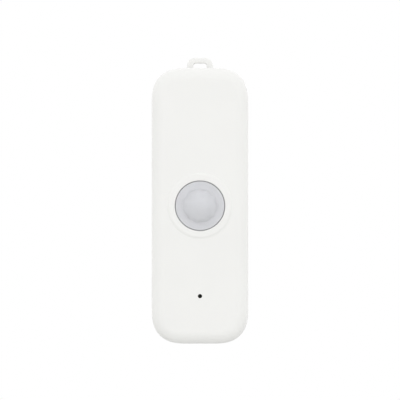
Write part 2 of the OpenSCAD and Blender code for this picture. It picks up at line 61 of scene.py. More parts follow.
def takeUp(piece):
    deselectAll()
    piece.select_set(True)
    bpy.context.view_layer.objects.active = piece


def settle(name):       # names the new primitive and puts its place into its mesh
    piece = bpy.context.object
    piece.name = name
    piece.data.name = name
    takeUp(piece)
    bpy.ops.object.transform_apply(location=True, rotation=True, scale=True)
    return piece


def addBox(name, low, high):
    deselectAll()
    middle = [(a + b) / 2 for a, b in zip(low, high)]
    size = [b - a for a, b in zip(low, high)]
    bpy.ops.mesh.primitive_cube_add(size=1, location=middle, scale=size)
    return settle(name)


def addRod(name, x, z, radius, front, back, sides=64):      # a round bar along y
    deselectAll()
    bpy.ops.mesh.primitive_cylinder_add(
        vertices=sides, radius=radius, depth=back - front,
        location=(x, (front + back) / 2, z), rotation=(math.pi / 2, 0, 0))
    return settle(name)


def openMesh(piece, mode):
    takeUp(piece)
    bpy.ops.object.mode_set(mode="EDIT")
    bpy.ops.mesh.select_mode(type=mode)
    bpy.ops.mesh.select_all(action="DESELECT")


def chooseEdges(piece, wanted):
    openMesh(piece, "EDGE")
    bpy.ops.object.mode_set(mode="OBJECT")
    points = piece.data.vertices
    for edge in piece.data.edges:
        edge.select = wanted(points[edge.vertices[0]].co, points[edge.vertices[1]].co)
    bpy.ops.object.mode_set(mode="EDIT")


def chooseFaces(piece, wanted):
    openMesh(piece, "FACE")
    bpy.ops.object.mode_set(mode="OBJECT")
    for face in piece.data.polygons:
        face.select = wanted(face)
    bpy.ops.object.mode_set(mode="EDIT")


def closeMesh():
    bpy.ops.object.mode_set(mode="OBJECT")


def bevelEdges(piece, wanted, reach, segments, profile=0.5):
    chooseEdges(piece, wanted)
    bpy.ops.mesh.bevel(offset=reach, offset_type="OFFSET", segments=segments,
                       profile=profile, affect="EDGES", clamp_overlap=False)
    closeMesh()


def applyModifier(piece, kind, **settings):
    takeUp(piece)
    modifier = piece.modifiers.new(kind.title(), kind)
    for key, value in settings.items():
        setattr(modifier, key, value)
    bpy.ops.object.modifier_apply(modifier=modifier.name)


def combine(piece, other, how):     # UNION, DIFFERENCE or INTERSECT, and the other is used up
    applyModifier(piece, "BOOLEAN", operation=how, solver="EXACT", object=other)
    bpy.data.objects.remove(other, do_unlink=True)


def cut(piece, other):
    combine(piece, other, "DIFFERENCE")


def join(piece, other):
    combine(piece, other, "UNION")


def softenEdges(piece, reach):
    applyModifier(piece, "BEVEL", width=reach, segments=2, limit_method="ANGLE",
                  angle_limit=math.radians(50), use_clamp_overlap=True,
                  miter_outer="MITER_ARC")


def smooth(piece, angle=32, weighted=True):
    takeUp(piece)
    bpy.ops.object.shade_smooth_by_angle(angle=math.radians(angle))
    if weighted:        # keeps the flats evenly lit beside their rounded edges
        applyModifier(piece, "WEIGHTED_NORMAL", mode="FACE_AREA", weight=90, keep_sharp=True)


def tidyMesh(piece):
    openMesh(piece, "VERT")
    bpy.ops.mesh.select_all(action="SELECT")
    bpy.ops.mesh.remove_doubles(threshold=near / 5)
    bpy.ops.mesh.normals_make_consistent(inside=False)
    closeMesh()


# Where the parts are

frontLow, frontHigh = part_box("front_cover")
rearLow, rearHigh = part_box("rear_cover")
doorLow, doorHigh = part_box("battery_door")
lensLow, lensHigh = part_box("fresnel_lens")
lightLow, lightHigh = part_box("status_light")
padLow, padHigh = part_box("adhesive_pad")
buttonLow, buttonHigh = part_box("pairing_button")
sliderLow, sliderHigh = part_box("power_slider")
leftCellLow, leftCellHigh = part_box("left_cell")
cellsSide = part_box("right_cell")[1][0]      # the cells' outer side
shellSwitchLow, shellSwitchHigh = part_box("power_switch_shell")
screwLow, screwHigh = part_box("case_screws")

shell = {
    "bezelRise": 0.4 * mm,
    "wall": 1.8 * mm,
    "seam": 8 * mm,             # height of the seam above the back plane
    "cornerReach": 15 * mm,
    "cornerPower": 2.6,
    "frontRound": 5 * mm,
    "backRound": 3 * mm,
    "cornerSteps": 24,
    "roundSteps": 14,
    "seamRound": 0.22 * mm,
    "seamSteps": 3,
    "flatInset": 0.3 * mm,      # the strip kept round a large flat face
    "onCurve": 0.985,           # the corner curve's value from which a point is on it
}
largeFace = 1000 * mm * mm      # only a cover's whole flat face is larger
straight = 0.999                # a face lies level from this share of its normal on
halfWidth = frontHigh[0]
bodyBottom = frontLow[2]
bodyTop = frontHigh[2]
backPlane = rearHigh[1]
frontFlat = frontLow[1] + shell["bezelRise"]
seamAt = backPlane - shell["seam"]
lensX = (lensLow[0] + lensHigh[0]) / 2
lensZ = (lensLow[2] + lensHigh[2]) / 2
middleZ = (bodyBottom + bodyTop) / 2
lightZ = (lightLow[2] + lightHigh[2]) / 2


def across(a, b, axis, place):      # both ends of an edge at one place along an axis
    return abs(a[axis] - place) < near and abs(b[axis] - place) < near


def alongY(a, b):
    return abs(a.y - b.y) > near


def cornerProfile():        # Blender's bevel profile for the soft corner's power
    return 2 ** (-2 / shell["cornerPower"])


def outlineBlock(name, inset, front, back):     # the body's outline as a straight block
    block = addBox(name, (-halfWidth + inset, front, bodyBottom + inset),
                   (halfWidth - inset, back, bodyTop - inset))
    bevelEdges(block, alongY, shell["cornerReach"] - inset, shell["cornerSteps"],
               cornerProfile())
    return block


def bodyBlock(name):        # the whole body's form with rounded edges, solid
    block = outlineBlock(name, 0, frontFlat, backPlane)
    bevelEdges(block, lambda a, b: across(a, b, 1, frontFlat), shell["frontRound"],
               shell["roundSteps"])
    bevelEdges(block, lambda a, b: across(a, b, 1, backPlane), shell["backRound"],
               shell["roundSteps"])
    return block


def keepHalf(piece, side):  # cuts the block at the seam and keeps one side, open
    openMesh(piece, "FACE")
    bpy.ops.mesh.select_all(action="SELECT")
    bpy.ops.mesh.bisect(plane_co=(0, seamAt, 0), plane_no=(0, 1, 0),
                        clear_outer=side == "front", clear_inner=side == "back")
    closeMesh()


def onOutline(point):       # whether a point lies on the body's full outline
    x = abs(point.x)
    z = abs(point.z - middleZ)
    reach = shell["cornerReach"]
    power = shell["cornerPower"]
    straightX = halfWidth - reach
    straightZ = (bodyTop - bodyBottom) / 2 - reach
    if x <= straightX:
        return abs(z - straightZ - reach) < loose
    if z <= straightZ:
        return abs(x - halfWidth) < loose
    curve = ((x - straightX) / reach) ** power + ((z - straightZ) / reach) ** power
    return curve > shell["onCurve"]


def thicken(piece):         # gives an open half its wall, inwards
    tidyMesh(piece)
    applyModifier(piece, "SOLIDIFY", thickness=shell["wall"], offset=-1,
                  use_even_offset=True, use_rim=True)
    bevelEdges(piece, lambda a, b: across(a, b, 1, seamAt) and onOutline(a) and onOutline(b),
               shell["seamRound"], shell["seamSteps"])


# Materials

def newMaterial(name):
    material = bpy.data.materials.new(name)
    material.use_nodes = True
    tree = material.node_tree
    return material, tree, tree.nodes["Principled BSDF"]


def patternAt(tree, scale, detail=4, stretch=None):     # a noise on Object coordinates
    place = tree.nodes.new("ShaderNodeTexCoord").outputs["Object"]
    if stretch:
        mapping = tree.nodes.new("ShaderNodeMapping")
        mapping.inputs["Scale"].default_value = stretch
        tree.links.new(place, mapping.inputs["Vector"])
        place = mapping.outputs["Vector"]
    noise = tree.nodes.new("ShaderNodeTexNoise")
    noise.inputs["Scale"].default_value = scale
    noise.inputs["Detail"].default_value = detail
    tree.links.new(place, noise.inputs["Vector"])
    return noise.outputs["Fac"]


def ramp(tree, source, low, high, start=0.3, end=0.7):
    node = tree.nodes.new("ShaderNodeMapRange")
    node.inputs["From Min"].default_value = start
    node.inputs["From Max"].default_value = end
    node.inputs["To Min"].default_value = low
    node.inputs["To Max"].default_value = high
    tree.links.new(source, node.inputs["Value"])
    return node.outputs["Result"]


def mixColors(tree, source, first, second):
    node = tree.nodes.new("ShaderNodeMix")
    node.data_type = "RGBA"
    node.inputs["A"].default_value = (*first, 1)
    node.inputs["B"].default_value = (*second, 1)
    tree.links.new(source, node.inputs["Factor"])
    return node.outputs["Result"]


def addBump(tree, shader, source, strength, distance):
    bump = tree.nodes.new("ShaderNodeBump")
    bump.inputs["Strength"].default_value = strength
    bump.inputs["Distance"].default_value = distance
    tree.links.new(source, bump.inputs["Height"])
    tree.links.new(bump.outputs["Normal"], shader.inputs["Normal"])


plastic = {
    "cloudScale": 45,
    "smoother": 0.05,
    "rougher": 0.06,
    "bump": 0.25,
    "index": 1.5,
}

metal = {
    "grainScale": 900,
    "shade": 0.8,
    "smoother": 0.06,
    "rougher": 0.1,
    "bump": 0.15,
    "grain": 0.01 * mm,
}


def mouldedPlastic(name, color, shade, roughness, grain=0.02 * mm, grainScale=2600,
                   scatter=0.0, reach=0.6 * mm):
    material, tree, shader = newMaterial(name)
    cloud = patternAt(tree, plastic["cloudScale"])
    darker = tuple(c * shade for c in color)
    tree.links.new(mixColors(tree, ramp(tree, cloud, 0, 1), color, darker),
                   shader.inputs["Base Color"])
    fine = patternAt(tree, grainScale)
    tree.links.new(ramp(tree, fine, roughness - plastic["smoother"],
                        roughness + plastic["rougher"]), shader.inputs["Roughness"])
    addBump(tree, shader, fine, plastic["bump"], grain)
    shader.inputs["IOR"].default_value = plastic["index"]
    if scatter:
        shader.inputs["Subsurface Weight"].default_value = scatter
        shader.inputs["Subsurface Radius"].default_value = (1, 1, 1)
        shader.inputs["Subsurface Scale"].default_value = reach
    return material


def platedMetal(name, color, roughness, stretch=(1, 1, 12)):    # stretch draws the grain out
    material, tree, shader = newMaterial(name)
    fine = patternAt(tree, metal["grainScale"], 3, stretch)
    darker = tuple(c * metal["shade"] for c in color)
    tree.links.new(mixColors(tree, fine, color, darker), shader.inputs["Base Color"])
    tree.links.new(ramp(tree, fine, roughness - metal["smoother"], roughness + metal["rougher"]),
                   shader.inputs["Roughness"])
    addBump(tree, shader, fine, metal["bump"], metal["grain"])
    shader.inputs["Metallic"].default_value = 1
    return material


shellWhite = mouldedPlastic("shellWhite", (0.766, 0.766, 0.751), 0.985, 0.52, scatter=0.08)
lensMilk = mouldedPlastic("lensMilk", (0.603, 0.609, 0.637), 0.985, 0.33, grain=0.006 * mm,
                          scatter=0.7, reach=2.5 * mm)
innerWhite = mouldedPlastic("innerWhite", (0.8, 0.8, 0.785), 0.96, 0.5)
padFoam = mouldedPlastic("padFoam", (0.055, 0.06, 0.065), 0.7, 0.85, grain=0.12 * mm,
                         grainScale=1500)
buttonGrey = mouldedPlastic("buttonGrey", (0.42, 0.43, 0.44), 0.95, 0.45)
blackResin = mouldedPlastic("blackResin", (0.018, 0.018, 0.02), 0.7, 0.55)
blackRubber = mouldedPlastic("blackRubber", (0.012, 0.012, 0.012), 0.7, 0.8)
darkFilter = mouldedPlastic("darkFilter", (0.02, 0.016, 0.022), 0.8, 0.18)
boardGreen = mouldedPlastic("boardGreen", (0.02, 0.14, 0.06), 0.75, 0.3, grain=0.03 * mm)
boardBlue = mouldedPlastic("boardBlue", (0.015, 0.04, 0.16), 0.75, 0.3, grain=0.03 * mm)
ceramic = mouldedPlastic("ceramic", (0.6, 0.59, 0.55), 0.9, 0.6)
ceramicBrown = mouldedPlastic("ceramicBrown", (0.26, 0.16, 0.08), 0.8, 0.55)
# the status light's clear lens is coloured nearly black: painted shade for the deep, dark hole it
# sits behind
lampPaintedShade = mouldedPlastic("lampPaintedShade", (0.05, 0.06, 0.053), 0.9, 0.15)
screwSteel = platedMetal("screwSteel", (0.55, 0.55, 0.56), 0.32)
canMetal = platedMetal("canMetal", (0.62, 0.61, 0.6), 0.28)
tinLeads = platedMetal("tinLeads", (0.68, 0.68, 0.69), 0.35)
goldPlate = platedMetal("goldPlate", (0.8, 0.58, 0.25), 0.3)
springSteel = platedMetal("springSteel", (0.6, 0.6, 0.61), 0.3, stretch=(1, 1, 1))
bareAluminium = platedMetal("bareAluminium", (0.72, 0.72, 0.74), 0.34)
cellMetal = platedMetal("cellMetal", (0.7, 0.7, 0.7), 0.25)


sleeve = {
    "lower": (0.03, 0.1, 0.26),
    "upper": (0.55, 0.38, 0.12),
    "split": 0.7,               # where the colours meet, as a share of the cell's length
    "blend": 0.1 * mm,
    "grainScale": 700,
    "roughness": (0.2, 0.32),
    "bump": 0.1,
    "grain": 0.02 * mm,
    "coat": 0.4,
}


def cellSleeve():       # a shrink sleeve in two colours, split along its length
    material, tree, shader = newMaterial("cellSleeve")
    place = tree.nodes.new("ShaderNodeTexCoord")
    parts = tree.nodes.new("ShaderNodeSeparateXYZ")
    tree.links.new(place.outputs["Object"], parts.inputs["Vector"])
    split = leftCellLow[2] + sleeve["split"] * (leftCellHigh[2] - leftCellLow[2])
    band = ramp(tree, parts.outputs["Z"], 0, 1, split - sleeve["blend"], split + sleeve["blend"])
    tree.links.new(mixColors(tree, band, sleeve["lower"], sleeve["upper"]),
                   shader.inputs["Base Color"])
    fine = patternAt(tree, sleeve["grainScale"])
    tree.links.new(ramp(tree, fine, *sleeve["roughness"]), shader.inputs["Roughness"])
    addBump(tree, shader, fine, sleeve["bump"], sleeve["grain"])
    shader.inputs["Coat Weight"].default_value = sleeve["coat"]
    return material


sleeveFilm = cellSleeve()


nodeMaterials = {
    "case_screws": screwSteel,
    "board_screws": screwSteel,
    "lens_retainer": innerWhite,
    "sensor_can": canMetal,
    "sensor_window": darkFilter,
    "sensor_element": ceramic,
    "sensor_header": goldPlate,
    "sensor_leads": goldPlate,
    "main_board": boardGreen,
    "microcontroller": blackResin,
    "amplifier_chip": blackResin,
    "amplifier_leads": tinLeads,
    "radio_board": boardBlue,
    "radio_shield": canMetal,
    "crystal": canMetal,
    "antenna": tinLeads,
    "voltage_regulator": blackResin,
    "storage_capacitor": bareAluminium,
    "capacitor_base": blackResin,
    "chip_resistors": blackResin,
    "chip_capacitors": ceramicBrown,
    # nearly black lens: painted shade of the hole in front of it
    "status_light": lampPaintedShade,
    "light_shroud": blackRubber,
    "tact_plunger": blackResin,
    "tact_body": blackResin,
    "tact_frame": tinLeads,
    "power_switch_shell": tinLeads,
    "power_switch_base": blackResin,
    "left_cell": cellMetal,
    "right_cell": cellMetal,
    "left_cell_sleeve": sleeveFilm,
    "right_cell_sleeve": sleeveFilm,
    "negative_contact": goldPlate,
    "positive_contact": goldPlate,
    "link_contact": goldPlate,
    "contact_springs": springSteel,
}
for nodeName, material in nodeMaterials.items():
    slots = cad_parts[nodeName].data.materials
    slots.clear()
    slots.append(material)


def finishPiece(piece, material, slotName, body, *nodes):
    piece.data.materials.clear()
    piece.data.materials.append(material)
    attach(piece, body)
    if nodes:
        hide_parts(*nodes)


print("materials made")

# Front shell

bezel = {
    "footRadius": 14.3 * mm,
    "topRadius": 13.1 * mm,
    "lipRadius": 0.45 * mm,
    "opening": 10.72 * mm,
    "openingDepth": 2.15 * mm,      # below the flat front
    "footSteps": 7,
    "lipSteps": 6,
}


def quarterTurns(steps):        # the angles of a quarter circle, in equal steps
    return [i / steps * math.pi / 2 for i in range(steps + 1)]


def bezelProfile():     # (radius, height above the flat front), from the foot inwards
    rise = shell["bezelRise"]
    steps = []
    for i in range(1, bezel["footSteps"] + 1):
        share = i / bezel["footSteps"]
        radius = bezel["footRadius"] + (bezel["topRadius"] - bezel["footRadius"]) * share
        steps.append((radius, rise * share * share * (3 - 2 * share)))
    lip = bezel["lipRadius"]
    for turn in quarterTurns(bezel["lipSteps"]):
        steps.append((bezel["opening"] + lip * (1 - math.sin(turn)),
                      rise - lip * (1 - math.cos(turn))))
    steps.append((bezel["opening"], -bezel["openingDepth"]))
    return steps


def openFront(piece):       # turns the flat front into a ring that steps down to the lens
    chooseFaces(piece, lambda face: face.normal.y < -straight and face.area > largeFace)
    bpy.ops.mesh.inset(thickness=shell["flatInset"], depth=0)
    bpy.ops.mesh.delete(type="ONLY_FACE")
    corners = 4 * (shell["cornerSteps"] + 1)
    bpy.ops.mesh.select_all(action="DESELECT")
    bpy.ops.mesh.primitive_circle_add(vertices=corners, radius=bezel["footRadius"],
                                      location=(lensX, frontFlat, lensZ),
                                      rotation=(math.pi / 2, 0, 0))
    closeMesh()

    def fromLens(point):
        return math.hypot(point.x - lensX, point.z - lensZ)

    def onFoot(a, b):
        farther = max(fromLens(a), fromLens(b))
        return across(a, b, 1, frontFlat) and farther < bezel["footRadius"] + near

    outerEdge = halfWidth - shell["frontRound"] - shell["flatInset"]

    def onInset(a, b):
        level = across(a, b, 1, frontFlat)
        inner = max(abs(a.x), abs(b.x)) < outerEdge + 2 * near
        return level and inner and not onFoot(a, b) and isOpen[frozenset((tuple(a), tuple(b)))]

    piece.data.update()
    used = {}
    for face in piece.data.polygons:
        for key in face.edge_keys:
            used[key] = used.get(key, 0) + 1
    points = piece.data.vertices
    isOpen = {}
    for edge in piece.data.edges:
        ends = frozenset(tuple(points[i].co) for i in edge.vertices)
        isOpen[ends] = used.get(edge.key, 0) == 1
    chooseEdges(piece, lambda a, b: onFoot(a, b) or onInset(a, b))
    bpy.ops.mesh.bridge_edge_loops()
    closeMesh()
    chooseEdges(piece, lambda a, b: onFoot(a, b) and
                abs(fromLens(a) - bezel["footRadius"]) < loose)
    radius = bezel["footRadius"]
    height = 0.0
    for nextRadius, nextHeight in bezelProfile():
        bpy.ops.mesh.extrude_edges_move(
            TRANSFORM_OT_translate={"value": (0, height - nextHeight, 0)})
        grow = nextRadius / radius
        bpy.ops.transform.resize(value=(grow, 1, grow),
                                 center_override=(lensX, frontFlat, lensZ))
        radius = nextRadius
        height = nextHeight
    closeMesh()


frontBosses = {
    "radius": 2.4 * mm,
    "pilot": 1.12 * mm,
    "insetX": 5.85 * mm,        # of the upper pair, from the side
    "lowerInsetX": 8 * mm,
    "screwHead": 1.9 * mm,
    "sink": 0.4 * mm,           # how far a boss starts inside the wall
    "pilotStart": 2 * mm,       # from the wall's inner face to the pilot hole's end
    "lightHole": 0.9 * mm,
    "lightEdge": 0.12 * mm,
    "edgeSteps": 3,
}


def screwPlaces():          # the four case screws, two under the door and two below
    upperZ = screwHigh[2] - frontBosses["screwHead"]
    lowerZ = screwLow[2] + frontBosses["screwHead"]
    upperX = halfWidth - frontBosses["insetX"]
    lowerX = halfWidth - frontBosses["lowerInsetX"]
    return [(side * x, z) for side in (-1, 1) for x, z in ((upperX, upperZ), (lowerX, lowerZ))]


def makeFrontShell():
    piece = bodyBlock("frontShell")
    openFront(piece)
    keepHalf(piece, "front")
    thicken(piece)
    wallInside = frontFlat + shell["wall"]
    for x, z in screwPlaces():
        join(piece, addRod("post", x, z, frontBosses["radius"], wallInside - frontBosses["sink"],
                           frontHigh[1]))
        cut(piece, addRod("pilot", x, z, frontBosses["pilot"],
                          wallInside + frontBosses["pilotStart"], frontHigh[1] + clear,
                          boreSides))
    cut(piece, addRod("hole", lensX, lightZ, frontBosses["lightHole"], frontFlat - clear,
                      wallInside + clear, holeSides))
    bevelEdges(piece, lambda a, b: across(a, b, 1, frontFlat) and
               math.hypot(a.x - lensX, a.z - lightZ) < frontBosses["lightHole"] + 2 * loose,
               frontBosses["lightEdge"], frontBosses["edgeSteps"])
    smooth(piece)
    finishPiece(piece, shellWhite, "shell_white", "housing", "front_cover")


makeFrontShell()
print("front shell made")

# Rear shell

rear = {
    "doorGap": 0.25 * mm,
    "doorSeat": 0.2 * mm,
    "tongue": 0.9 * mm,
    "tongueRise": 0.7 * mm,         # thickness of the tongue
    "tongueStart": 2 * mm,          # above the door's lower edge
    "deck": 1.2 * mm,
    "deckLap": 1.4 * mm,
    "deckInset": 0.9 * mm,          # from the body's outline, within its wall
    "deckTrim": 0.3 * mm,           # cut off the deck's back by the door's recess
    "grooveTrim": 0.02 * mm,        # keeps the groove's front off the recess's floor
    "bayWall": 1 * mm,
    "bayDrop": 0.4 * mm,            # from the negative contact's top to the bay's lower end
    "floor": 1.1 * mm,
    "sleeve": 0.1 * mm,             # how far a cell's sleeve stands out
    "cellPlay": 0.2 * mm,
    "post": 3.1 * mm,
    "postTop": 5 * mm,
    "sink": 0.3 * mm,               # how far a lower post starts inside the wall
    "seat": 3.4 * mm,
    "headHole": 2.1 * mm,
    "shankHole": 1.25 * mm,
    "shankLap": 0.2 * mm,           # how far the shank's hole runs into the head's
    "padRecess": 0.5 * mm,
    "padGap": 0.2 * mm,
    "padCorner": 3.2 * mm,
    "padCornerSteps": 8,
    "buttonHole": 2.7 * mm,
    "holeDepth": 3 * mm,            # of the button's hole and the slider's slot
    "stem": 1.5 * mm,               # of the slider, that runs in the slot
    "slotPlay": 0.25 * mm,
    "slotTravel": 2 * mm,
    "scoop": 1 * mm,
    "scoopSide": 1.6 * mm,          # beyond either end of the slot
    "scoopHalf": 2.25 * mm,
    "scoopCorner": 0.9 * mm,
    "scoopSteps": 6,
}

loop = {
    "width": 11.2 * mm,
    "holeWidth": 5.8 * mm,
    "bar": 2.4 * mm,
    "shoulder": 3.3 * mm,
    "shoulderSteps": 10,
    "holeCorner": 1.1 * mm,
    "cornerSteps": 8,
    "holeEdge": 0.45 * mm,
    "holeSteps": 4,
    "root": 0.9 * mm,
    "sill": 0.03 * mm,          # keeps the hole's lower side clear of the body's top
    "thickness": 3 * mm,
    "behindSeam": 1.4 * mm,
    "flare": 1.2 * mm,
    "edge": 0.75 * mm,
    "edgeSteps": 5,
}


def makeLoop():
    front = seamAt + loop["behindSeam"]
    back = front + loop["thickness"]
    top = rearHigh[2]
    half = loop["width"] / 2
    flare = loop["flare"]
    root = bodyTop - loop["root"]
    piece = addBox("loopPart", (-half - flare, front, root), (half + flare, back, top))
    for side in (-1, 1):
        outer = sorted((side * half, side * (half + 3 * flare)))
        cut(piece, addBox("side", (outer[0], front - clear, bodyTop + flare),
                          (outer[1], back + clear, top + clear)))
        cut(piece, addRod("flare", side * (half + flare), bodyTop + flare, flare,
                          front - clear, back + clear))
    bevelEdges(piece, lambda a, b: alongY(a, b) and min(a.z, b.z) > top - near,
               loop["shoulder"], loop["shoulderSteps"])
    tidyMesh(piece)
    bevelEdges(piece, lambda a, b: (across(a, b, 1, front) or across(a, b, 1, back)) and
               not across(a, b, 2, root), loop["edge"], loop["edgeSteps"])
    sill = bodyTop + loop["sill"]
    hole = addBox("hole", (-loop["holeWidth"] / 2, front - clear, sill),
                  (loop["holeWidth"] / 2, back + clear, top - loop["bar"]))
    bevelEdges(hole, lambda a, b: alongY(a, b) and min(a.z, b.z) > sill + near,
               loop["holeCorner"], loop["cornerSteps"])
    cut(piece, hole)
    tidyMesh(piece)

    def inHole(point):
        return (abs(point.x) < loop["holeWidth"] / 2 + near and
                sill - near < point.z < top - loop["bar"] + near)

    bevelEdges(piece, lambda a, b: (across(a, b, 1, front) or across(a, b, 1, back)) and
               inHole(a) and inHole(b), loop["holeEdge"], loop["holeSteps"])
    return piece


def makeRearShell():
    piece = bodyBlock("rearShell")
    chooseFaces(piece, lambda face: face.normal.y > straight and face.area > largeFace)
    bpy.ops.mesh.inset(thickness=shell["flatInset"], depth=0)
    closeMesh()
    keepHalf(piece, "back")
    thicken(piece)

    def depth(distance):        # y at a distance in front of the back plane
        return backPlane - distance

    outside = depth(-clear)
    deckLow = doorHigh[1] - doorLow[1] + rear["doorSeat"]
    deckHigh = deckLow + rear["deck"]
    deckBack = depth(deckLow - rear["deckTrim"])
    deckPiece = outlineBlock("deck", rear["deckInset"], depth(deckHigh), deckBack)
    combine(deckPiece, addBox("upper", (-halfWidth, depth(deckHigh) - clear,
                                        doorLow[2] - rear["deckLap"]),
                              (halfWidth, deckBack + clear, bodyTop + clear)), "INTERSECT")
    join(piece, deckPiece)
    gap = rear["doorGap"]
    doorHalf = doorHigh[0] - rear["tongue"]
    cut(piece, addBox("recess", (-doorHalf - gap, depth(deckLow), doorLow[2] - gap),
                      (doorHalf + gap, outside, bodyTop + clear)))
    tongueBack = depth(deckLow - 2 * rear["doorSeat"] - rear["tongueRise"])
    cut(piece, addBox("groove", (-doorHigh[0] - gap, depth(deckLow) + rear["grooveTrim"],
                                 doorLow[2] + rear["tongueStart"] - gap),
                      (doorHigh[0] + gap, tongueBack, bodyTop + clear)))
    bayHalf = cellsSide + rear["sleeve"] + rear["cellPlay"]
    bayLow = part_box("negative_contact")[1][2] - rear["bayDrop"]
    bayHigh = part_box("link_contact")[1][2]
    floorFront = rearLow[1]
    bayWall = rear["bayWall"]
    join(piece, addBox("bay", (-bayHalf - bayWall, floorFront, bayLow - bayWall),
                       (bayHalf + bayWall, depth(deckLow) - lap, bayHigh + bayWall)))
    cut(piece, addBox("space", (-bayHalf, floorFront + rear["floor"], bayLow),
                      (bayHalf, outside, bayHigh)))
    for x, z in screwPlaces():
        start = deckLow + lap if z > middleZ else shell["wall"] - rear["sink"]
        join(piece, addRod("post", x, z, rear["post"], depth(rear["postTop"]), depth(start)))
        cut(piece, addRod("shank", x, z, rear["shankHole"], depth(rear["postTop"] + clear),
                          depth(rear["seat"] - rear["shankLap"]), boreSides))
        cut(piece, addRod("head", x, z, rear["headHole"], depth(rear["seat"]), outside,
                          holeSides))
    padGap = rear["padGap"]
    recess = addBox("padRecess",
                    (padLow[0] - padGap, depth(rear["padRecess"]), padLow[2] - padGap),
                    (padHigh[0] + padGap, outside, padHigh[2] + padGap))
    bevelEdges(recess, alongY, rear["padCorner"], rear["padCornerSteps"])
    cut(piece, recess)
    buttonX = (buttonLow[0] + buttonHigh[0]) / 2
    buttonZ = (buttonLow[2] + buttonHigh[2]) / 2
    cut(piece, addRod("buttonHole", buttonX, buttonZ, rear["buttonHole"],
                      depth(rear["holeDepth"]), outside))
    slotX = (shellSwitchLow[0] + shellSwitchHigh[0]) / 2
    slotZ = (shellSwitchLow[2] + shellSwitchHigh[2]) / 2
    slotRise = rear["stem"] / 2 + rear["slotPlay"]
    slotReach = rear["slotTravel"] / 2 + slotRise
    scoopReach = slotReach + rear["scoopSide"]
    scoop = addBox("scoop", (slotX - scoopReach, depth(rear["scoop"]), slotZ - rear["scoopHalf"]),
                   (slotX + scoopReach, outside, slotZ + rear["scoopHalf"]))
    bevelEdges(scoop, alongY, rear["scoopCorner"], rear["scoopSteps"])
    cut(piece, scoop)
    cut(piece, addBox("slot", (slotX - slotReach, depth(rear["holeDepth"]), slotZ - slotRise),
                      (slotX + slotReach, outside, slotZ + slotRise)))
    join(piece, makeLoop())
    smooth(piece)
    finishPiece(piece, shellWhite, "shell_white", "housing", "rear_cover")


makeRearShell()
print("rear shell made")

# Battery door

door = {
    "edge": 0.2 * mm,
    "ridges": 5,
    "ridgePitch": 1.6 * mm,
    "ridgeRadius": 0.45 * mm,
    "ridgeSides": 24,
    "ridgeWidth": 12 * mm,
    "firstRidge": 4.4 * mm,
    "tongueLength": 34 * mm,
}


def makeDoor():
    doorHalf = doorHigh[0] - rear["tongue"]
    piece = bodyBlock("doorPanel")
    slab = addBox("slab", (-doorHalf, doorLow[1], doorLow[2]),
                  (doorHalf, backPlane + clear, bodyTop + clear))
    combine(piece, slab, "INTERSECT")
    tongueLow = doorLow[2] + rear["tongueStart"]
    join(piece, addBox("tongues", (-doorHigh[0], doorLow[1], tongueLow),
                       (doorHigh[0], doorLow[1] + rear["tongueRise"],
                        tongueLow + door["tongueLength"])))
    for i in range(door["ridges"]):
        z = doorLow[2] + door["firstRidge"] + i * door["ridgePitch"]
        deselectAll()
        bpy.ops.mesh.primitive_cylinder_add(
            vertices=door["ridgeSides"], radius=door["ridgeRadius"], depth=door["ridgeWidth"],
            location=(0, backPlane, z), rotation=(0, math.pi / 2, 0))
        cut(piece, settle("ridge"))
    softenEdges(piece, door["edge"])
    smooth(piece)
    finishPiece(piece, shellWhite, "shell_white", "door", "battery_door")


makeDoor()
print("door made")

# Lens

lens = {
    "disc": 10.5 * mm,
    "dome": 7.45 * mm,
    "domeRise": 4.2 * mm,
    "skirt": 0.85 * mm,         # a low slope round the dome's foot
    "skirtRise": 0.25 * mm,
    "skirtCurve": ((0.35, 0.4), (0.7, 0.1), (1, 0)),    # shares of its width and rise
    "edge": 0.25 * mm,
    "edgeCurve": ((1, 0), (0.3, 0.3), (0, 1)),          # shares inwards and backwards
    "rim": 12.1 * mm,
    "rimThick": 0.8 * mm,
    "wall": 0.8 * mm,
    "domeSteps": 20,
    "turns": 120,
    "outerFacets": 11,
    "outerTilt": 52,            # degrees, of a flat against the disc's plane
    "outerDepth": 0.16 * mm,
    "outerTurn": 6,
    "innerFacets": 7,
    "innerTilt": 30,
    "innerDepth": 0.07 * mm,
    "innerTurn": 12,
    "coneBase": 3.5 * mm,       # of the facets' cutter, behind the disc's face
    "shaverLap": 0.085 * mm,    # how far the cutter reaches past the dome's foot
    "dimple": 0.04 * mm,
    "dimpleBall": 1 * mm,
    "softAngle": 14,
}
poleRadius = 0.05 * mm      # of the small fan that a spun body starts from


def domeRadius(foot, rise):     # of the sphere that the dome is a cap of
    return (foot * foot + rise * rise) / (2 * rise)


def lensProfile():      # (radius, y) from the front pole round to the hollow's pole
    pole = lensLow[1]
    face = pole + lens["domeRise"]
    ball = domeRadius(lens["dome"], lens["domeRise"])
    steep = math.asin(lens["dome"] / ball)
    steps = lens["domeSteps"]
    cap = math.acos(math.cos(steep) + lens["skirtRise"] / ball)
    rounds = [(ball * math.sin(cap * i / steps), pole + ball * (1 - math.cos(cap * i / steps)))
              for i in range(steps + 1)]
    edge = lens["edge"]
    skirt = lens["skirt"]
    rounds += [(lens["dome"] + out * skirt, face - up * lens["skirtRise"])
               for out, up in lens["skirtCurve"]]
    rounds += [(lens["disc"] - inner * edge, face + back * edge)
               for inner, back in lens["edgeCurve"]]
    rimFront = lensHigh[1] - lens["rimThick"]
    rounds += [(lens["disc"], rimFront), (lens["rim"], rimFront), (lens["rim"], lensHigh[1]),
               (lens["disc"] - lens["wall"], lensHigh[1]),
               (lens["disc"] - lens["wall"], face + lens["wall"])]
    inside = ball - lens["wall"]
    depth = face + lens["wall"] - (pole + ball)
    steepInside = math.acos(-depth / inside)
    rounds += [(inside * math.sin(steepInside * i / steps),
                pole + ball - inside * math.cos(steepInside * i / steps))
               for i in range(steps, -1, -1)]
    return rounds


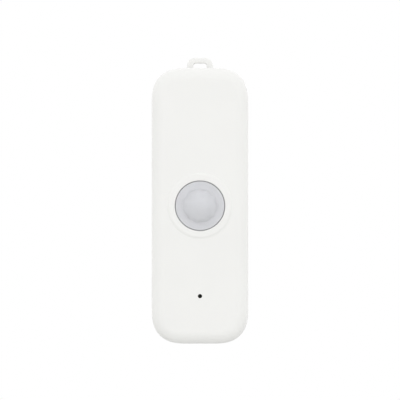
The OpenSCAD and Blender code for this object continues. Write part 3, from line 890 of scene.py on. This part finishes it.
def spinProfile(name, rounds, x, z, turns):     # a closed round body about an axis along y
    deselectAll()
    radius = poleRadius
    y = rounds[0][1]
    bpy.ops.mesh.primitive_circle_add(vertices=turns, radius=radius, fill_type="TRIFAN",
                                      location=(x, y, z), rotation=(math.pi / 2, 0, 0))
    piece = settle(name)
    chooseEdges(piece, lambda a, b: math.hypot(a.x - x, a.z - z) > radius - near and
                math.hypot(b.x - x, b.z - z) > radius - near)
    for nextRadius, nextY in rounds[1:-1]:
        bpy.ops.mesh.extrude_edges_move(TRANSFORM_OT_translate={"value": (0, nextY - y, 0)})
        grow = nextRadius / radius
        bpy.ops.transform.resize(value=(grow, 1, grow), center_override=(x, nextY, z))
        radius = nextRadius
        y = nextY
    bpy.ops.mesh.extrude_edges_move(TRANSFORM_OT_translate={"value": (0, rounds[-1][1] - y, 0)})
    bpy.ops.mesh.merge(type="CENTER")
    closeMesh()
    tidyMesh(piece)
    return piece


def facetCone(count, tilt, depth, turn):    # a blunt cone whose flats shave the dome
    pole = lensLow[1]
    face = pole + lens["domeRise"]
    ball = domeRadius(lens["dome"], lens["domeRise"])
    slope = math.radians(tilt)
    reach = (ball - depth) / math.cos(slope)        # from the ball's centre to the cone's tip
    tip = pole + ball - reach
    base = face + lens["coneBase"]
    inradius = (base - tip) / math.tan(slope)
    deselectAll()
    bpy.ops.mesh.primitive_cone_add(
        vertices=count, radius1=inradius / math.cos(math.pi / count), radius2=0,
        depth=base - tip, location=(lensX, (base + tip) / 2, lensZ),
        rotation=(math.pi / 2, 0, 0))
    cone = settle("facets")
    takeUp(cone)
    bpy.ops.object.mode_set(mode="EDIT")
    bpy.ops.mesh.select_all(action="SELECT")
    bpy.ops.transform.rotate(value=math.radians(turn), orient_axis="Y",
                             center_override=(lensX, 0, lensZ))
    closeMesh()
    return cone


def makeLens():
    face = lensLow[1] + lens["domeRise"]
    piece = spinProfile("motionLens", lensProfile(), lensX, lensZ, lens["turns"])
    shaver = addRod("shaver", lensX, lensZ, lens["dome"] + lens["shaverLap"],
                    lensLow[1] - clear, face - lens["skirtRise"], lens["turns"])
    outer = facetCone(lens["outerFacets"], lens["outerTilt"], lens["outerDepth"],
                      lens["outerTurn"])
    inner = facetCone(lens["innerFacets"], lens["innerTilt"], lens["innerDepth"],
                      lens["innerTurn"])
    combine(outer, inner, "INTERSECT")
    combine(shaver, outer, "DIFFERENCE")
    cut(piece, shaver)
    deselectAll()
    ball = lens["dimpleBall"]
    bpy.ops.mesh.primitive_uv_sphere_add(
        segments=32, ring_count=16, radius=ball,
        location=(lensX, lensLow[1] - ball + lens["dimple"], lensZ))
    cut(piece, settle("dimple"))
    smooth(piece, lens["softAngle"], False)
    finishPiece(piece, lensMilk, "lens_milky", "housing", "fresnel_lens")


makeLens()
print("lens made")

# Pad, button and power slider

padShape = {
    "corner": 3 * mm,
    "cornerSteps": 10,
    "edge": 0.06 * mm,
    "linerInset": 0.12 * mm,
    "linerAt": 0.75,            # share of the pad's thickness that's foam
    "linerEdge": 0.05 * mm,
    "edgeSteps": 2,
}

buttonShape = {
    "cap": 2.5 * mm,
    "flange": 3.3 * mm,
    "flangeThick": 1.85 * mm,
    "edge": 0.25 * mm,
    "edgeSteps": 5,
    "dish": 0.18 * mm,
    "dishRadius": 1.7 * mm,
    "dishSteps": 6,
    "turns": 64,
}

sliderShape = {
    "carriageThick": 0.9 * mm,
    "stemSink": 0.2 * mm,       # how far the stem starts inside the carriage
    "edge": 0.06 * mm,
    "ribDepth": 0.18 * mm,
    "ribWidth": 0.2 * mm,
    "ribSpread": 0.6,           # the outer ribs' places, as a share of half the stem
}


def isRim(point):       # on the pad's own outline
    x = abs(point.x) - (padHigh[0] - padShape["corner"])
    middle = (padLow[2] + padHigh[2]) / 2
    z = abs(point.z - middle) - ((padHigh[2] - padLow[2]) / 2 - padShape["corner"])
    if x <= 0 or z <= 0:
        return max(x, z) > padShape["corner"] - near
    return math.hypot(x, z) > padShape["corner"] - 2 * near


def makePad():
    piece = addBox("foamPad", padLow, padHigh)
    bevelEdges(piece, alongY, padShape["corner"], padShape["cornerSteps"])
    chooseFaces(piece, lambda face: face.normal.y > straight)
    bpy.ops.mesh.inset(thickness=padShape["linerInset"], depth=0)
    closeMesh()
    split = padLow[1] + padShape["linerAt"] * (padHigh[1] - padLow[1])
    openMesh(piece, "FACE")
    bpy.ops.mesh.select_all(action="SELECT")
    bpy.ops.mesh.bisect(plane_co=(0, split, 0), plane_no=(0, 1, 0))
    closeMesh()
    bevelEdges(piece, lambda a, b: across(a, b, 1, split), padShape["linerEdge"],
               padShape["edgeSteps"])
    bevelEdges(piece, lambda a, b: across(a, b, 1, padHigh[1]) and
               isRim(a) and isRim(b), padShape["edge"], padShape["edgeSteps"])
    smooth(piece)
    finishPiece(piece, padFoam, "foam_pad", "housing", "adhesive_pad")


def makeButton():
    x = (buttonLow[0] + buttonHigh[0]) / 2
    z = (buttonLow[2] + buttonHigh[2]) / 2
    outer = buttonHigh[1]
    inner = buttonLow[1]
    edge = buttonShape["edge"]
    ledge = inner + buttonShape["flangeThick"]
    dish = buttonShape["dishRadius"]
    rounds = [(0, outer - buttonShape["dish"])]
    for turn in quarterTurns(buttonShape["dishSteps"])[1:]:
        rounds.append((dish * math.sin(turn), outer - buttonShape["dish"] * math.cos(turn)))
    for turn in quarterTurns(buttonShape["edgeSteps"]):
        rounds.append((buttonShape["cap"] - edge * (1 - math.sin(turn)),
                       outer - edge * (1 - math.cos(turn))))
    rounds += [(buttonShape["cap"], ledge), (buttonShape["flange"] - edge / 2, ledge),
               (buttonShape["flange"], ledge - edge / 2), (buttonShape["flange"], inner),
               (poleRadius, inner), (0, inner)]
    piece = spinProfile("pairingButton", rounds, x, z, buttonShape["turns"])
    smooth(piece)
    finishPiece(piece, buttonGrey, "button_grey", "button", "pairing_button")


def makeSlider():
    ledge = sliderLow[1] + sliderShape["carriageThick"]
    x = (sliderLow[0] + sliderHigh[0]) / 2
    z = (sliderLow[2] + sliderHigh[2]) / 2
    half = rear["stem"] / 2
    halfRib = sliderShape["ribWidth"] / 2
    piece = addBox("powerSlider", sliderLow, (sliderHigh[0], ledge, sliderHigh[2]))
    join(piece, addBox("stem", (x - half, ledge - sliderShape["stemSink"], z - half),
                       (x + half, sliderHigh[1], z + half)))
    for i in (-1, 0, 1):
        place = x + i * half * sliderShape["ribSpread"]
        cut(piece, addBox("rib", (place - halfRib, sliderHigh[1] - sliderShape["ribDepth"],
                                  z - half - clear),
                          (place + halfRib, sliderHigh[1] + clear, z + half + clear)))
    softenEdges(piece, sliderShape["edge"])
    smooth(piece)
    finishPiece(piece, blackResin, "chip_black", "slider", "power_slider")


makePad()
makeButton()
makeSlider()
print("pad, button and slider made")

# Camera, light and floor

view = {
    "distance": 1.2,
    "width": 172.3 * mm,        # what the camera takes in at the body's widest plane
    "raise": 2.47 * mm,         # the body sits a little below the middle of the view
    "sensor": 36.0,
    "nearest": 0.05,
    "farthest": 20,
}


def placeCamera():
    data = bpy.data.cameras.new("camera")
    camera = bpy.data.objects.new("camera", data)
    bpy.context.scene.collection.objects.link(camera)
    data.sensor_width = view["sensor"]
    data.lens = view["sensor"] * view["distance"] / view["width"]
    data.clip_start = view["nearest"]
    data.clip_end = view["farthest"]
    plane = (frontFlat + shell["frontRound"] + seamAt) / 2
    camera.location = (0, plane - view["distance"], middleZ + view["raise"])
    camera.rotation_euler = (math.pi / 2, 0, 0)
    bpy.context.scene.camera = camera


light = {
    "world": 1.24,                  # brightness level with the object
    "lean": (0, 0.28, -0.12),       # how it grows along each axis
    "keyPlace": (0.05, -1.08, 0.3),
    "keySize": 1.3,
    "keyPower": 3.4,
    "floorDrop": 0.25,
    "floorSize": 4,
    "floorGrey": (0.66, 0.66, 0.65, 1),
    "floorRoughness": 0.8,
}


def lightWorld():           # pale all round, brighter behind and below, white where it's seen
    world = bpy.data.worlds.new("studio")
    bpy.context.scene.world = world
    world.use_nodes = True
    tree = world.node_tree
    background = tree.nodes["Background"]
    place = tree.nodes.new("ShaderNodeTexCoord")
    lean = tree.nodes.new("ShaderNodeVectorMath")
    lean.operation = "DOT_PRODUCT"
    lean.inputs[1].default_value = light["lean"]
    level = tree.nodes.new("ShaderNodeMath")
    level.operation = "ADD"
    level.inputs[1].default_value = light["world"]
    rays = tree.nodes.new("ShaderNodeLightPath")
    mix = tree.nodes.new("ShaderNodeMix")
    mix.data_type = "FLOAT"
    mix.inputs["B"].default_value = 1.0
    tree.links.new(place.outputs["Generated"], lean.inputs[0])
    tree.links.new(lean.outputs["Value"], level.inputs[0])
    tree.links.new(level.outputs["Value"], mix.inputs["A"])
    tree.links.new(rays.outputs["Is Camera Ray"], mix.inputs["Factor"])
    tree.links.new(mix.outputs["Result"], background.inputs["Strength"])
    background.inputs["Color"].default_value = (1, 1, 1, 1)


def addKeyLight():
    data = bpy.data.lights.new("key", "AREA")
    data.shape = "DISK"
    data.size = light["keySize"]
    data.energy = light["keyPower"]
    key = bpy.data.objects.new("key", data)
    bpy.context.scene.collection.objects.link(key)
    place = Vector(light["keyPlace"])
    key.location = place
    aim = Vector((0, 0, middleZ)) - place
    key.rotation_euler = aim.to_track_quat("-Z", "Y").to_euler()


def layFloor():
    deselectAll()
    bpy.ops.mesh.primitive_plane_add(size=light["floorSize"],
                                     location=(0, 0, bodyBottom - light["floorDrop"]))
    floor = settle("floor")
    material, tree, shader = newMaterial("paleFloor")
    shader.inputs["Base Color"].default_value = light["floorGrey"]
    shader.inputs["Roughness"].default_value = light["floorRoughness"]
    floor.data.materials.append(material)


placeCamera()
lightWorld()
addKeyLight()
layFloor()
bpy.context.scene.view_settings.view_transform = "Standard"
print("camera, light and floor placed")
